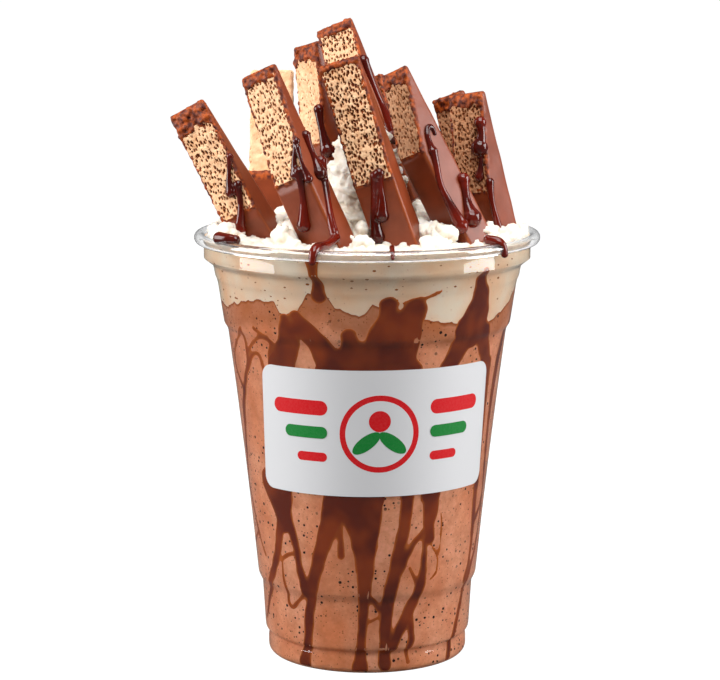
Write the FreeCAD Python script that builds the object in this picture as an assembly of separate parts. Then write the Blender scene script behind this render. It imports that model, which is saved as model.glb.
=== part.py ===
"""Chocolate milkshake in a clear cup, heaped with whipped cream and ten chocolate-coated wafer fingers.

Millimetres, +Z up. The origin is the centre of the cup's foot, on the surface that it stands on,
and the label faces -Y. Every piece is a closed solid in a file of its own.
"""
import FreeCAD, Part
import math
import os
import random

from FreeCAD import Rotation, Vector

# ---- cup: thin clear plastic with a rolled lip -------------------------------------------------
# What is near the lip is placed from the lip (drops go down from its top, insets go in from its
# outside), and what is near the foot is placed from the foot, so that height and widths are free.
WALL = 0.5                   # plastic thickness
CUP_HEIGHT = 122.0           # foot to the top of the lip
LIP_RADIUS = 49.0            # outside of the rolled lip
LIP_ROLL = 1.6               # radius of the roll
LIP_TURN = 260.0             # degrees that the roll goes round

FOOT_RADIUS = 28.5           # widest part of the foot
FOOT_ROUND = 2.1             # rounding under the foot
FOOT_HEIGHT = 7.2            # foot up to the first step
FOOT_GROOVE = 0.4            # how far the foot pulls in under that step
FOOT_RING = 3.0              # width of the flat ring at its edge
HOLLOW_WIDTH = 9.4           # ring-shaped hollow inside that, up to the flat middle
HOLLOW_RISE = 1.2
HOLLOW_SLOPE = 2.0           # width of each of its slopes

LOW_BAND_TOP = 21.2          # band above the foot, up to the second step
LOW_BAND_OUT = 0.9           # how far its bottom stands out from the foot
LOW_BAND_FLARE = 0.8         # how much wider it is at its top
LOW_STEP_OUT = 1.2           # how far the second step stands out
LOW_STEP_RISE = 2.8

BODY_TOP_DROP = 28.2         # tapered body's top, below the lip
BODY_TOP_INSET = 9.5
BODY_HOLLOW = 0.35           # how far the body's side sinks in at mid height
SHOULDER_OUT = 1.2
SHOULDER_RISE = 2.6

RIB_LOW_DROP = 13.4          # lower of the two ribs under the lip
RIB_HIGH_DROP = 9.0          # upper one
RIB_OUT = 0.75               # how far each stands out
RIB_RISE = 1.1
NECK_TOP_INSET = 6.6         # band between the shoulder and the lower rib, at its top
COLLAR_DROP = 7.2            # where the plain collar under the lip starts

# ---- label ----------------------------------------------------------------------------------
LABEL_WIDTH = 72.5           # measured round the cup
LABEL_HEIGHT = 35.9
LABEL_DROP = 33.8            # its top edge below the lip
LABEL_THICK = 0.15
LABEL_CORNER = 3.6
LABEL_TURN = 5.4             # degrees that its middle is turned to the right

# ---- drink and cream ------------------------------------------------------------------------
SHAKE_DROP = 18.0            # where the dark drink meets the pale layer, below the lip
SHAKE_WAVE = 2.2             # half height of the waves in that border
PALE_DROP = 3.6              # top of the pale layer, where the whipped cream starts
BED_EDGE_DROP = 2.4          # whipped cream at the wall
BED_CROWN_RISE = 5.0         # whipped cream round the tower, above the lip
BED_LUMP = 1.9               # height of its lumps
LUMP_SPACING = 10.5
TOWER_PLACE = (-1.5, -4.5)
TOWER_RISE = 29.0            # its tip above the lip
TOWER_FOOT_RADIUS = 16.0
TOWER_TOP_RADIUS = 10.0
TOWER_RIDGES = 6
RIDGE_DEPTH = 1.0

# ---- wafer fingers --------------------------------------------------------------------------
COAT = 1.15                  # thickness of the chocolate
EDGE_ROUND = 0.8             # rounding of its edges

# Each finger is sliced aslant, from a point on its front up to its tip, which bares the wafer.
# over: where the middle of its front is at the slice's start, across and into the mouth, as
# shares of the lip's radius. rise: that point's height above the lip. lean: to the left, back:
# away at the top, spin: front turned to the left, in degrees. slice: length of the slice. tip:
# thickness left at the tip. cap: solid chocolate at the tip. foot: length below the slice.
FINGERS = {
    "a": dict(over=(-0.74, -0.20), rise=5.8, lean=31.5, back=-3, spin=23, width=12.0, thick=8.5,
              slice=32.0, tip=1.6, cap=6.0, foot=17.0),
    "b": dict(over=(-0.43, -0.61), rise=17.3, lean=24.5, back=3, spin=31, width=11.8, thick=9.0,
              slice=30.3, tip=2.0, cap=3.0, foot=29.0),
    "c": dict(over=(-0.58, 0.39), rise=13.2, lean=1, back=4, spin=12, width=12.5, thick=7.5,
              slice=31.0, tip=2.6, cap=0.0, foot=20.0),
    "d": dict(over=(-0.32, 0.29), rise=23.4, lean=14.5, back=4, spin=50, width=11.5, thick=8.0,
              slice=28.0, tip=2.0, cap=5.0, foot=26.0),
    "e": dict(over=(-0.12, 0.10), rise=43.5, lean=21.7, back=5, spin=15, width=11.3, thick=8.0,
              slice=15.0, tip=1.8, cap=2.4, foot=40.0),
    "f": dict(over=(0.03, -0.57), rise=16.8, lean=19.7, back=-4, spin=17, width=11.9, thick=8.5,
              slice=33.0, tip=2.0, cap=1.5, foot=27.0),
    "g": dict(over=(0.09, 0.42), rise=20.0, lean=22, back=4, spin=35, width=11.0, thick=8.0,
              slice=21.5, tip=2.5, cap=3.0, foot=20.0),
    "h": dict(over=(0.24, -0.41), rise=23.3, lean=27, back=1, spin=44, width=10.2, thick=10.0,
              slice=22.2, tip=1.6, cap=4.5, foot=31.0),
    "i": dict(over=(0.60, -0.17), rise=11.7, lean=14, back=-4, spin=37, width=11.7, thick=9.5,
              slice=26.4, tip=2.4, cap=3.5, foot=17.5),
    "j": dict(over=(0.58, 0.15), rise=11.2, lean=21, back=3, spin=38, width=11.0, thick=8.5,
              slice=26.5, tip=2.2, cap=4.0, foot=18.0),
}

BARE_FINGER = "c"            # this one is plain wafer, dipped only at its foot
DIP = 1.0                    # how far up the slice its dip reaches

ABOVE_ALL = CUP_HEIGHT + 100.0   # higher than anything here
OUT_WIDE = LIP_RADIUS + 11.0     # wider than the cup


def line(a, b):
    return Part.LineSegment(Vector(a[0], 0, a[1]), Vector(b[0], 0, b[1])).toShape()


def arc(a, middle, b):
    return Part.Arc(Vector(a[0], 0, a[1]), Vector(middle[0], 0, middle[1]), Vector(b[0], 0, b[1])).toShape()


def turned(edges):
    """A solid of revolution about Z from the edges of a closed outline in the XZ plane."""
    face = Part.Face(Part.Wire(Part.__sortEdges__(edges)))
    solid = face.revolve(Vector(0, 0, 0), Vector(0, 0, 1), 360)
    if solid.Volume < 0:
        solid.reverse()
    return solid


def side_points():
    """The cup's outside, as (radius, height) points: below its tapered body, and above it."""
    band_bottom = FOOT_RADIUS + LOW_BAND_OUT
    band_top = band_bottom + LOW_BAND_FLARE
    low_step_top = LOW_BAND_TOP + LOW_STEP_RISE
    body_top = CUP_HEIGHT - BODY_TOP_DROP
    body_radius_top = LIP_RADIUS - BODY_TOP_INSET
    neck_radius = LIP_RADIUS - NECK_TOP_INSET
    rib_low = CUP_HEIGHT - RIB_LOW_DROP
    rib_high = CUP_HEIGHT - RIB_HIGH_DROP
    below = [
        (FOOT_RADIUS, FOOT_ROUND),
        (FOOT_RADIUS, FOOT_HEIGHT * 0.62),
        (FOOT_RADIUS - FOOT_GROOVE, FOOT_HEIGHT - 0.6),
        (band_bottom - 0.2, FOOT_HEIGHT),
        (band_bottom, FOOT_HEIGHT + 1.0),
        (band_top, LOW_BAND_TOP),
        (band_top + LOW_STEP_OUT * 0.85, low_step_top - 0.8),
        (band_top + LOW_STEP_OUT, low_step_top),
    ]
    above = [
        (body_radius_top, body_top),
        (body_radius_top + 0.2, body_top + 1.1),
        (body_radius_top + SHOULDER_OUT, body_top + SHOULDER_RISE),
        (neck_radius, rib_low - 0.9),
        (neck_radius + 0.25, rib_low),
        (neck_radius + RIB_OUT, rib_low + RIB_RISE),
        (neck_radius + RIB_OUT + 0.45, rib_high - 0.7),
        (neck_radius + RIB_OUT + 0.8, rib_high),
        (lip_centre()[0] - LIP_ROLL + WALL, CUP_HEIGHT - COLLAR_DROP),
    ]
    return below, above


def lip_centre():
    return LIP_RADIUS - LIP_ROLL, CUP_HEIGHT - LIP_ROLL


def body_middle(inset):
    """The middle of the body's slightly hollow side, inset from the outside."""
    below, above = side_points()
    radius = (below[-1][0] + above[0][0]) / 2 - BODY_HOLLOW - inset
    return radius, (below[-1][1] + above[0][1]) / 2


def side_edges(inset):
    """Edges up the side, from the foot's rounding to the collar, inset from the outside."""
    below, above = [[(r - inset, z) for r, z in points] for points in side_points()]
    edges = [line(a, b) for a, b in zip(below, below[1:])]
    edges.append(arc(below[-1], body_middle(inset), above[0]))
    edges += [line(a, b) for a, b in zip(above, above[1:])]
    return edges, above[-1]


def foot_edges(inset):
    """Edges under the foot, from the axis out to the foot's rounding."""
    round_radius = FOOT_ROUND - inset
    ring_outer = FOOT_RADIUS - FOOT_ROUND
    ring_inner = ring_outer - FOOT_RING
    pad = ring_inner - HOLLOW_WIDTH
    roof = HOLLOW_RISE + inset
    points = [(0, inset), (pad, inset), (pad + HOLLOW_SLOPE, roof),
              (ring_inner - HOLLOW_SLOPE, roof), (ring_inner, inset), (ring_outer, inset)]
    edges = [line(a, b) for a, b in zip(points, points[1:])]
    half = round_radius * math.sqrt(0.5)
    end = (FOOT_RADIUS - inset, FOOT_ROUND)
    edges.append(arc(points[-1], (ring_outer + half, FOOT_ROUND - half), end))
    return edges, points[0]


def lip_edges():
    """The rolled lip, closed at its free end, from the wall's inside round to its outside."""
    x, z = lip_centre()
    thin = LIP_ROLL - WALL

    def on_roll(radius, degrees):
        turn = math.radians(180 - degrees)
        return x + radius * math.cos(turn), z + radius * math.sin(turn)

    outer = arc(on_roll(LIP_ROLL, 0), on_roll(LIP_ROLL, LIP_TURN / 2), on_roll(LIP_ROLL, LIP_TURN))
    inner = arc(on_roll(thin, 0), on_roll(thin, LIP_TURN / 2), on_roll(thin, LIP_TURN))
    end = line(on_roll(LIP_ROLL, LIP_TURN), on_roll(thin, LIP_TURN))
    return [outer, end, inner], on_roll(LIP_ROLL, 0), on_roll(thin, 0)


def make_cup():
    outer_side, outer_collar = side_edges(0)
    inner_side, inner_collar = side_edges(WALL)
    outer_foot, outer_axis = foot_edges(0)
    inner_foot, inner_axis = foot_edges(WALL)
    lip, lip_inside, lip_outside = lip_edges()
    edges = outer_side + inner_side + outer_foot + inner_foot + lip
    edges += [line(outer_collar, lip_outside), line(inner_collar, lip_inside), line(outer_axis, inner_axis)]
    return turned(edges)


def make_inside():
    """The space inside the cup, carried straight up above its lip."""
    side, collar = side_edges(WALL)
    foot, axis = foot_edges(WALL)
    top = (collar[0], ABOVE_ALL)
    edges = side + foot + [line(collar, top), line(top, (0, ABOVE_ALL)), line((0, ABOVE_ALL), axis)]
    return turned(edges)


def make_label():
    """A rectangle with round corners, wrapped on the body."""
    below, above = side_points()
    sheet = []
    for out in (0, LABEL_THICK):
        bottom = below[-1][0] + out, below[-1][1]
        top = above[0][0] + out, above[0][1]
        sheet.append((arc(bottom, body_middle(-out), top), bottom, top))
    (inner, inner_low, inner_high), (outer, outer_low, outer_high) = sheet
    shell = turned([inner, outer, line(inner_low, outer_low), line(inner_high, outer_high)])
    label_top = CUP_HEIGHT - LABEL_DROP
    ends = [(label_top - LABEL_HEIGHT, -1), (label_top, 1)]
    wedge = []
    for height, _ in ends:
        half = LABEL_WIDTH / 2 / body_radius(height)
        turns = [half * share for share in (-1, -0.5, 0, 0.5, 1)]
        points = [Vector(0, 0, height)]
        points += [Vector(OUT_WIDE * math.sin(t), -OUT_WIDE * math.cos(t), height) for t in turns]
        wedge.append(Part.makePolygon(points + points[:1]))
    label = shell.common(Part.makeLoft(wedge, True, True))
    for height, upward in ends:
        turn = math.degrees((LABEL_WIDTH / 2 - LABEL_CORNER) / body_radius(height))
        for side in (-1, 1):
            tool = corner_tool(side, upward)
            tool.translate(Vector(0, 0, height - upward * LABEL_CORNER))
            tool.rotate(Vector(0, 0, 0), Vector(0, 0, 1), side * turn)
            label = label.cut(tool)
    label.rotate(Vector(0, 0, 0), Vector(0, 0, 1), LABEL_TURN)
    return label


def corner_tool(side, upward):
    """What rounding takes away at one of the label's corners, on the -Y side."""
    square = Part.makeBox(2 * LABEL_CORNER, OUT_WIDE, 2 * LABEL_CORNER)
    square.translate(Vector(0 if side > 0 else -2 * LABEL_CORNER, -OUT_WIDE, 0 if upward > 0 else -2 * LABEL_CORNER))
    return square.cut(Part.makeCylinder(LABEL_CORNER, OUT_WIDE, Vector(0, 0, 0), Vector(0, -1, 0)))


def body_radius(height):
    """Outside radius of the body at a height, from its taper and its hollow."""
    below, above = side_points()
    low_radius, low = below[-1]
    top_radius, top = above[0]
    share = (height - low) / (top - low)
    straight = low_radius + (top_radius - low_radius) * share
    return straight - 4 * BODY_HOLLOW * share * (1 - share)


def under_surface(height_at, count):
    """A block that reaches from far below up to a smooth surface z = height_at(x, y)."""
    step = 2 * OUT_WIDE / (count - 1)
    rows = []
    for i in range(count):
        x = -OUT_WIDE + i * step
        rows.append([Vector(x, -OUT_WIDE + j * step, height_at(x, -OUT_WIDE + j * step)) for j in range(count)])
    surface = Part.BSplineSurface()
    surface.interpolate(rows)
    return surface.toShape().extrude(Vector(0, 0, -ABOVE_ALL))


def shake_border(x, y):
    """Height of the border between the dark drink and the pale layer."""
    waves = math.sin(x / 4.6 + 0.7) + 0.7 * math.sin(y / 5.7 - 1.1) + 0.6 * math.sin((x - y) / 8.3)
    return CUP_HEIGHT - SHAKE_DROP + SHAKE_WAVE * waves / 1.6


def bed_lumps():
    """Lumps of whipped cream set out in rings, each with its own place, width and height."""
    draw = random.Random(11)
    lumps = []
    ring = LUMP_SPACING
    while ring < LIP_RADIUS - LUMP_SPACING / 2:
        count = int(2 * math.pi * ring / LUMP_SPACING)
        for k in range(count):
            turn = 2 * math.pi * (k + draw.uniform(-0.3, 0.3)) / count
            radius = ring + draw.uniform(-2, 2)
            lumps.append((radius * math.cos(turn), radius * math.sin(turn),
                          draw.uniform(3.6, 5.0), BED_LUMP * draw.uniform(0.5, 1.5)))
        ring += LUMP_SPACING
    return lumps


LUMPS = bed_lumps()


def bed_height(x, y):
    """Height of the whipped cream's lumpy bed."""
    reach = min(1.0, math.hypot(x, y) / (LIP_RADIUS - LIP_ROLL))
    edge = CUP_HEIGHT - BED_EDGE_DROP
    height = edge + (BED_EDGE_DROP + BED_CROWN_RISE) * (1 - reach ** 2)
    bumps = sum(high * math.exp(-((x - u) ** 2 + (y - v) ** 2) / wide ** 2) for u, v, wide, high in LUMPS)
    return height + bumps * (1 - 0.6 * reach ** 4)


def make_tower():
    """The piped tower: a ridged cone with a rounded tip."""
    low = CUP_HEIGHT - PALE_DROP
    top = CUP_HEIGHT + TOWER_RISE
    pitch = (top - low) / (TOWER_RIDGES + 1)
    edges = []
    start = (TOWER_FOOT_RADIUS, low)
    point = start
    for k in range(TOWER_RIDGES):
        share = (k + 1) / (TOWER_RIDGES + 1)
        radius = TOWER_FOOT_RADIUS + (TOWER_TOP_RADIUS - TOWER_FOOT_RADIUS) * share
        after = (radius, low + (k + 1) * pitch)
        middle = ((point[0] + after[0]) / 2 + RIDGE_DEPTH, (point[1] + after[1]) / 2)
        edges.append(arc(point, middle, after))
        point = after
    tip = (0, top)
    edges.append(arc(point, (point[0] * 0.72, top - pitch * 0.22), tip))
    edges += [line(tip, (0, low)), line((0, low), start)]
    tower = turned(edges)
    tower.translate(Vector(*TOWER_PLACE, 0))
    return tower


def placed(shape, finger):
    """Moves a shape from a finger's own frame, X right, Y into the finger, Z up it, to its place."""
    lean = math.radians(finger["lean"])
    back = math.radians(finger["back"])
    spin = math.radians(finger["spin"])
    up = Vector(-math.sin(lean) * math.cos(back), math.sin(back), math.cos(lean) * math.cos(back))
    toward = Vector(0, -1, 0)
    front = (toward - up * toward.dot(up)).normalize()
    right = up.cross(front) * -1
    if right.x < 0:
        right = right * -1
    turned_front = front * math.cos(spin) - right * math.sin(spin)
    turned_right = right * math.cos(spin) + front * math.sin(spin)
    into = turned_front * -1
    rotation = Rotation(turned_right, into, up, "ZXY")
    moved = shape.copy()
    across, deep = finger["over"]
    place = Vector(across * LIP_RADIUS, deep * LIP_RADIUS, CUP_HEIGHT + finger["rise"])
    moved.Placement = FreeCAD.Placement(place, rotation)
    return moved


def sliced_block(finger, inset, cap):
    """A finger's block in its own frame, inset on every side, less what the slice takes away."""
    half = finger["width"] / 2 - inset
    low = -finger["foot"] + inset
    high = finger["slice"] - cap
    block = Part.makeBox(2 * half, finger["thick"] - 2 * inset, high - low, Vector(-half, inset, low))
    if not inset:
        block = block.makeFillet(EDGE_ROUND, block.Edges)
    return block.cut(slice_tool(finger))


def slice_tool(finger):
    """What lies in front of the slanting slice."""
    depth = finger["thick"] - finger["tip"]
    slope = depth / finger["slice"]
    over = 5.0
    side = finger["width"]
    points = [(0, 0), (depth + slope * over, finger["slice"] + over), (-side, finger["slice"] + over), (-side, 0)]
    corners = [Vector(-side, y, z) for y, z in points]
    face = Part.Face(Part.makePolygon(corners + corners[:1]))
    return face.extrude(Vector(2 * side, 0, 0))


def make_finger(name):
    """The chocolate coat and the wafer inside it, with the whole finger's outer shape."""
    finger = FINGERS[name]
    whole = sliced_block(finger, 0, 0)
    if name == BARE_FINGER:
        side = finger["width"] * 2
        dip = Part.makeBox(side, side, finger["foot"] + DIP, Vector(-side / 2, -side / 2, -finger["foot"]))
        inside = sliced_block(finger, COAT, 0)
        coat = whole.common(dip).cut(inside)
        wafer = whole.cut(coat)
    else:
        wafer = sliced_block(finger, COAT, finger["cap"])
        coat = whole.cut(wafer)
    return placed(coat, finger), placed(wafer, finger), placed(whole, finger)


def save(shape, name):
    solids = shape.Solids
    shape = solids[0] if len(solids) == 1 else Part.makeCompound(solids)
    shape.exportStep(f"parts/{name}.step")
    print(f"{name}: {len(solids)} solid, {shape.Volume / 1000:.2f} cm3, valid {shape.isValid()}")


def main():
    os.makedirs("parts", exist_ok=True)
    wholes = []
    for name in FINGERS:
        coat, wafer, whole = make_finger(name)
        save(coat, f"finger_{name}_coat")
        save(wafer, f"finger_{name}_wafer")
        wholes.append(whole)

    inside = make_inside()
    below_border = under_surface(shake_border, 33)
    below_bed = under_surface(bed_height, 49)
    to_pale_top = Part.makeCylinder(OUT_WIDE, CUP_HEIGHT - PALE_DROP)
    shake = inside.common(below_border)
    pale = inside.common(to_pale_top).cut(below_border).cut(wholes)
    bed = inside.common(below_bed).cut(to_pale_top)
    cream = bed.fuse(make_tower()).cut(wholes)

    save(make_cup(), "cup")
    save(make_label(), "label")
    save(shake, "shake")
    save(pale, "pale_layer")
    save(cream, "whipped_cream")


main()
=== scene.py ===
"""Looks of a chocolate milkshake: a clear cup, the drink and its sauce, whipped cream and wafer fingers."""
import math
import random

import bpy
import numpy as np
from mathutils import Matrix, Vector, noise


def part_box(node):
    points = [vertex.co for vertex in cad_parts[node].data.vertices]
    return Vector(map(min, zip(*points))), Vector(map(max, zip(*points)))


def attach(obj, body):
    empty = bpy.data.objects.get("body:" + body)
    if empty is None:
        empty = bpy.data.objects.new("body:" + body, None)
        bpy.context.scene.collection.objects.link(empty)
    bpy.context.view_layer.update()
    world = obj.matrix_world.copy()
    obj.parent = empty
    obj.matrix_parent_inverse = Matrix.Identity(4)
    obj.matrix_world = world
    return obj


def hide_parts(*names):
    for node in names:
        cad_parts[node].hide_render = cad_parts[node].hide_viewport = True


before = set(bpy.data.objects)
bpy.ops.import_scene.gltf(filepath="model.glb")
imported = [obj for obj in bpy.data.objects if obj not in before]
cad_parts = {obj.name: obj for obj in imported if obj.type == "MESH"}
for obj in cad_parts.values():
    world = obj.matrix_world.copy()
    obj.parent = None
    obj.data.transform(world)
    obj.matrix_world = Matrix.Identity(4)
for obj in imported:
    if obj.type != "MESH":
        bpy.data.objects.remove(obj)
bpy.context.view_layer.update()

# Pieces are modelled in millimetres and turned to metres when they are settled.
MM = 0.001

# ---- the cup, as made: radii of its outside and heights from its foot ----
WALL = 0.5
LIP_ROLL = 1.6
LIP_TURN = 260
LIP_RADIUS = round(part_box("cup")[1].x / MM, 2)
CUP_HEIGHT = round(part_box("cup")[1].z / MM, 2)
SIDE = [(28.5, 4.5), (28.1, 6.5), (29.2, 7.2), (29.4, 8.2), (30.2, 21.2), (31.2, 23.2), (31.4, 24.0),
        (33.2, 41.5), (35.15, 59.0), (37.25, 76.5), (39.5, 93.8), (39.75, 94.9), (40.7, 96.4),
        (42.4, 107.6), (42.65, 108.6), (43.15, 109.7), (43.6, 112.2), (43.95, 113.0), (46.3, 114.8)]
REACH = 0.12                 # how far what fills the cup reaches into its wall

SHAKE_TOP = 104.0            # mean height of the dark drink
PALE_TOP = 120.6             # height of the pale layer
RIM_FILL = 120.6             # height of the cream at the wall
FOOT_EDGE = 2.1              # where the foot's curve meets the side


# ---- small tools ----
def only(*objects):
    """Selects these objects and nothing else; the first is the active one."""
    bpy.ops.object.select_all(action="DESELECT")
    for obj in objects:
        obj.select_set(True)
    bpy.context.view_layer.objects.active = objects[0]


def edit(obj):
    """Enters edit mode on one object with nothing selected."""
    only(obj)
    bpy.ops.object.mode_set(mode="EDIT")
    bpy.ops.mesh.select_all(action="DESELECT")


def select_whole():
    bpy.ops.mesh.select_all(action="SELECT")


def leave():
    bpy.ops.object.mode_set(mode="OBJECT")


def apply_place():
    bpy.ops.object.transform_apply(location=True, rotation=True, scale=True)


def fix_normals():
    """Turns every face of the mesh being edited outwards."""
    select_whole()
    bpy.ops.mesh.normals_make_consistent(inside=False)


def apply_modifier(obj, kind, **settings):
    """Adds a modifier, sets it and applies it."""
    only(obj)
    modifier = obj.modifiers.new(kind, kind)
    for key, value in settings.items():
        setattr(modifier, key, value)
    bpy.ops.object.modifier_apply(modifier=modifier.name)


def points_of(obj, kind="co"):
    """The mesh's vertices, or their normals, as an array of rows x, y, z."""
    flat = np.empty(len(obj.data.vertices) * 3)
    obj.data.vertices.foreach_get(kind, flat)
    return flat.reshape(-1, 3)


def set_points(obj, rows):
    obj.data.vertices.foreach_set("co", rows.ravel())
    obj.data.update()


def normals_of(obj):
    return points_of(obj, "normal")


def set_value(obj, name, values):
    """Stores one number for each vertex, or the same for all, for a material to read."""
    layer = obj.data.attributes.get(name) or obj.data.attributes.new(name, "FLOAT", "POINT")
    values = np.broadcast_to(values, len(layer.data)).astype(np.float32)
    layer.data.foreach_set("value", values)


def joined(name, objects):
    only(*objects)
    if len(objects) > 1:
        bpy.ops.object.join()
    objects[0].name = name
    return objects[0]


def settle(obj, name, material, slot, *nodes, angle=180):
    """Finishes a piece: its place goes into its mesh, in metres, and it stands for its CAD nodes."""
    only(obj)
    apply_place()
    obj.data.transform(Matrix.Scale(MM, 4))
    obj.name = name
    obj.data.name = name
    only(obj)
    bpy.ops.object.shade_smooth_by_angle(angle=math.radians(angle), keep_sharp_edges=False)
    obj.data.materials.clear()
    obj.data.materials.append(material)
    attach(obj, "root")
    if nodes:
        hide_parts(*nodes)
    return obj


# ---- materials ----
def colour(hex_code):
    """An sRGB hex colour as linear numbers."""
    parts = [int(hex_code[i:i + 2], 16) / 255 for i in (1, 3, 5)]
    return tuple(c / 12.92 if c <= 0.04045 else ((c + 0.055) / 1.055) ** 2.4 for c in parts) + (1.0,)


def add_node(tree, kind, inputs=None, **settings):
    """Adds a node, sets its properties, and sets or links its inputs."""
    node = tree.nodes.new(kind)
    for key, value in settings.items():
        setattr(node, key, value)
    for key, value in (inputs or {}).items():
        if isinstance(value, bpy.types.NodeSocket):
            tree.links.new(value, node.inputs[key])
        else:
            node.inputs[key].default_value = value
    return node


def new_material(name, **sockets):
    """A material with one Principled shader, and that shader."""
    material = bpy.data.materials.new(name)
    material.use_nodes = True
    shader = material.node_tree.nodes["Principled BSDF"]
    for key, value in sockets.items():
        shader.inputs[key.replace("_", " ")].default_value = value
    return material, material.node_tree, shader


def place_node(tree, size_mm=(1, 1, 1)):
    """Object coordinates counted in steps of so many millimetres along each axis."""
    where = add_node(tree, "ShaderNodeTexCoord")
    scale = tuple(1 / (MM * s) for s in size_mm)
    mapping = add_node(tree, "ShaderNodeMapping", {"Vector": where.outputs["Object"], "Scale": scale})
    return mapping.outputs["Vector"]


def grain(tree, size_mm, detail=3.0, rough=0.5, stretch=(1, 1, 1)):
    """Noise from 0 to 1 whose blotches are about so many millimetres across."""
    place = place_node(tree, tuple(size_mm * s for s in stretch))
    return add_node(tree, "ShaderNodeTexNoise",
                    {"Vector": place, "Scale": 1.0, "Detail": detail, "Roughness": rough}).outputs["Fac"]


def ramp(tree, value, low, high, out_low=0.0, out_high=1.0):
    """value from low to high becomes out_low to out_high, and no further."""
    return add_node(tree, "ShaderNodeMapRange", {"Value": value, "From Min": low, "From Max": high,
                                                 "To Min": out_low, "To Max": out_high}).outputs["Result"]


def blend(tree, share, a, b):
    """Colour a where share is 0, colour b where it is 1. Either may be a hex code."""
    a, b = (colour(c) if isinstance(c, str) else c for c in (a, b))
    return add_node(tree, "ShaderNodeMix", {0: share, 6: a, 7: b}, data_type="RGBA").outputs[2]


def combine(tree, operation, a, b):
    return add_node(tree, "ShaderNodeMath", {0: a, 1: b}, operation=operation).outputs[0]


def attribute(tree, name):
    return add_node(tree, "ShaderNodeAttribute", attribute_name=name).outputs["Fac"]


def flecks(tree, spacing_mm, radius_mm, share, stretch=(1, 1, 1)):
    """1 on small dots and 0 elsewhere: one dot to a cell, in a share of the cells."""
    cells = add_node(tree, "ShaderNodeTexVoronoi",
                     {"Vector": place_node(tree, tuple(spacing_mm * s for s in stretch)), "Scale": 1.0,
                      "Randomness": 1.0})
    pick = add_node(tree, "ShaderNodeSeparateColor", {"Color": cells.outputs["Color"]})
    size = ramp(tree, pick.outputs["Red"], 1 - share, 1.0, 0.0, radius_mm / spacing_mm)
    inside = combine(tree, "SUBTRACT", size, cells.outputs["Distance"])
    return ramp(tree, inside, 0.0, 0.02)


def relief(tree, shader, height, depth_mm):
    """Bump so many millimetres deep, for detail too fine to model."""
    bump = add_node(tree, "ShaderNodeBump", {"Height": height, "Distance": depth_mm * MM, "Strength": 1.0})
    tree.links.new(bump.outputs["Normal"], shader.inputs["Normal"])


def painted(material, tone):
    """The material, its shader's colour taken from tone."""
    tree = material.node_tree
    tree.links.new(tone, tree.nodes["Principled BSDF"].inputs["Base Color"])
    return material


def clear_plastic():
    """Clear PET, thermoformed: thin, glossy, with the faintest waviness from forming."""
    material, tree, shader = new_material("clear PET, thermoformed", IOR=1.46, Roughness=0.03,
                                          Transmission_Weight=1.0, Base_Color=(1, 1, 1, 1))
    relief(tree, shader, grain(tree, 9.0, detail=1.0, stretch=(1, 1, 2.5)), 0.006)
    return material


def shake_liquid():
    """Chocolate milkshake: a froth with fine bubbles and specks, and no gloss where it wets the wall."""
    material, tree, _ = new_material("chocolate milkshake, blended", Roughness=0.6, IOR=1.36,
                                     Specular_IOR_Level=0.1)
    tone = blend(tree, ramp(tree, grain(tree, 14.0, stretch=(1, 1, 1.6)), 0.35, 0.65), "#EE9A6A", "#FFBE98")
    patches = ramp(tree, grain(tree, 5.0, detail=4, rough=0.6), 0.42, 0.7, 0.0, 0.42)
    mottled = blend(tree, patches, tone, "#C4703F")
    fine = blend(tree, ramp(tree, grain(tree, 0.9, detail=2), 0.3, 0.75, 0.0, 0.3), mottled, "#C8703E")
    zone = ramp(tree, attribute(tree, "brim"), 0.1, 0.45, 0.0, 0.5)
    upper = blend(tree, zone, fine, "#B4642F")
    clusters = ramp(tree, grain(tree, 16.0, detail=1), 0.42, 0.6, 0.25, 1.0)
    specks = combine(tree, "MULTIPLY", flecks(tree, 1.25, 0.48, 0.6), ramp(tree, clusters, 0.3, 0.6))
    dust = combine(tree, "MULTIPLY", flecks(tree, 0.75, 0.24, 0.55), 0.7)
    with_dust = blend(tree, dust, upper, "#9A4A22")
    with_specks = blend(tree, specks, with_dust, "#240A03")
    line = ramp(tree, attribute(tree, "brim"), 0.9, 0.99)
    final = blend(tree, line, with_specks, "#A4521E")
    return painted(material, final)


def pale_froth():
    """The pale layer on the shake: milk and cream, with flecks of chocolate smeared on the wall."""
    material, tree, _ = new_material("milky froth", Roughness=0.6, IOR=1.36, Specular_IOR_Level=0.1)
    tone = blend(tree, ramp(tree, grain(tree, 11.0), 0.3, 0.7), "#FFD6AC", "#FFF0DA")
    pores = flecks(tree, 1.2, 0.22, 0.5)
    with_pores = blend(tree, combine(tree, "MULTIPLY", pores, 0.5), tone, "#C68A5C")
    smears = flecks(tree, 2.0, 0.6, 0.35, stretch=(1, 1, 0.55))
    final = blend(tree, smears, with_pores, "#A5602C")
    return painted(material, final)


def whipped():
    """Whipped cream: white with a breath of ivory, satin, and soft where light goes in."""
    material, tree, shader = new_material("whipped cream", Roughness=0.42, IOR=1.4, Subsurface_Weight=0.25,
                                          Subsurface_Scale=0.002)
    shader.inputs["Subsurface Radius"].default_value = (1.0, 0.8, 0.6)
    tone = blend(tree, ramp(tree, grain(tree, 5.0), 0.35, 0.7), "#F6F0E6", "#E9DDCA")
    relief(tree, shader, grain(tree, 0.8, detail=4, rough=0.6), 0.12)
    return painted(material, tone)


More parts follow.
